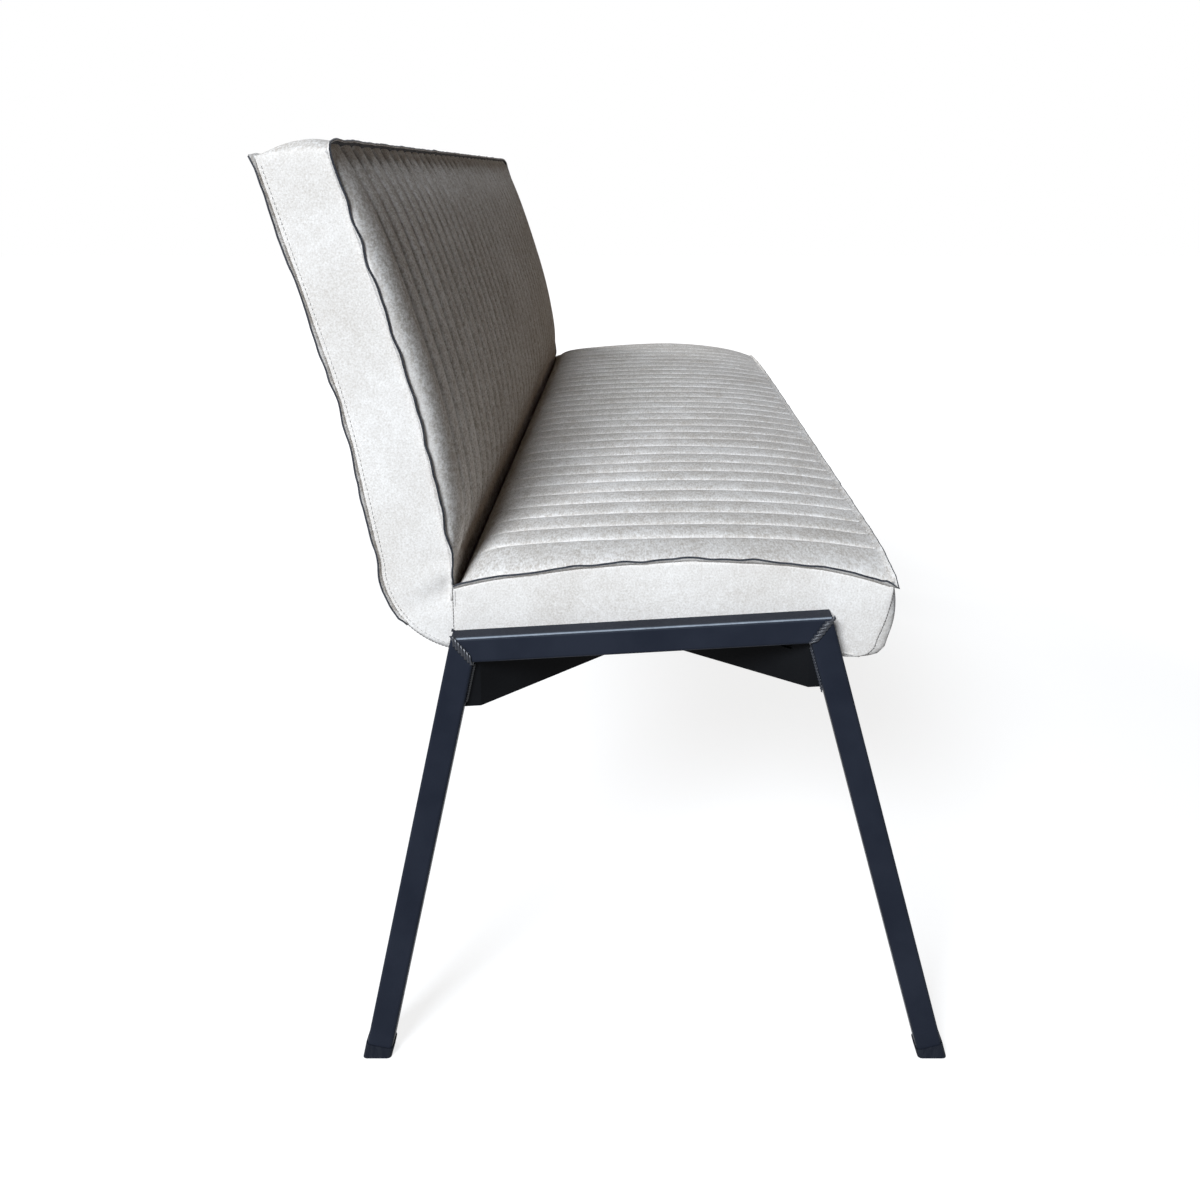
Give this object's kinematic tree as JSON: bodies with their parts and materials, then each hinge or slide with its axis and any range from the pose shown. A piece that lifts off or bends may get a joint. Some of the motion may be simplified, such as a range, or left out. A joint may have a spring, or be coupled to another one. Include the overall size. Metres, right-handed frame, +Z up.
{
  "type": "dining bench",
  "caption": "Upholstered dining bench with a fixed leaning back, channel-stitched seat and back, on raked end frames of square steel tube.",
  "frame": {"origin": "on the floor, under the middle of the bench's box", "axes": "+X along the length, -Y towards the front of the seat, +Z up"},
  "size_m": [1.603, 0.6396, 0.88],
  "materials": {
    "frame_steel": "matte powder coat",
    "foot_cap": "matte",
    "screw": "zinc plated",
    "plywood": "raw",
    "pine": "raw",
    "foam": "open cell",
    "upholstery": "brushed microfibre",
    "dust_cover": "black non-woven"
  },
  "bodies": {
    "root": {"left_top_rail": "frame_steel", "left_front_leg": "frame_steel", "left_rear_leg": "frame_steel", "left_front_brace": "frame_steel", "left_rear_brace": "frame_steel", "left_front_foot_cap": "foot_cap", "left_front_brace_outer_screw": "screw", "left_front_brace_inner_screw": "screw", "left_rear_foot_cap": "foot_cap", "left_rear_brace_outer_screw": "screw", "left_rear_brace_inner_screw": "screw", "right_top_rail": "frame_steel", "right_front_leg": "frame_steel", "right_rear_leg": "frame_steel", "right_front_brace": "frame_steel", "right_rear_brace": "frame_steel", "right_front_foot_cap": "foot_cap", "right_front_brace_outer_screw": "screw", "right_front_brace_inner_screw": "screw", "right_rear_foot_cap": "foot_cap", "right_rear_brace_outer_screw": "screw", "right_rear_brace_inner_screw": "screw", "left_end_rib": "plywood", "left_inner_rib": "plywood", "centre_rib": "plywood", "right_inner_rib": "plywood", "right_end_rib": "plywood", "seat_deck": "plywood", "back_panel": "plywood", "rear_board": "plywood", "front_batten": "pine", "back_top_batten": "pine", "seat_foam": "foam", "back_foam": "foam", "seat_cover": "upholstery", "back_cover": "upholstery", "outer_back_cover": "upholstery", "dust_cover": "dust_cover"}
  },
  "joints": []
}
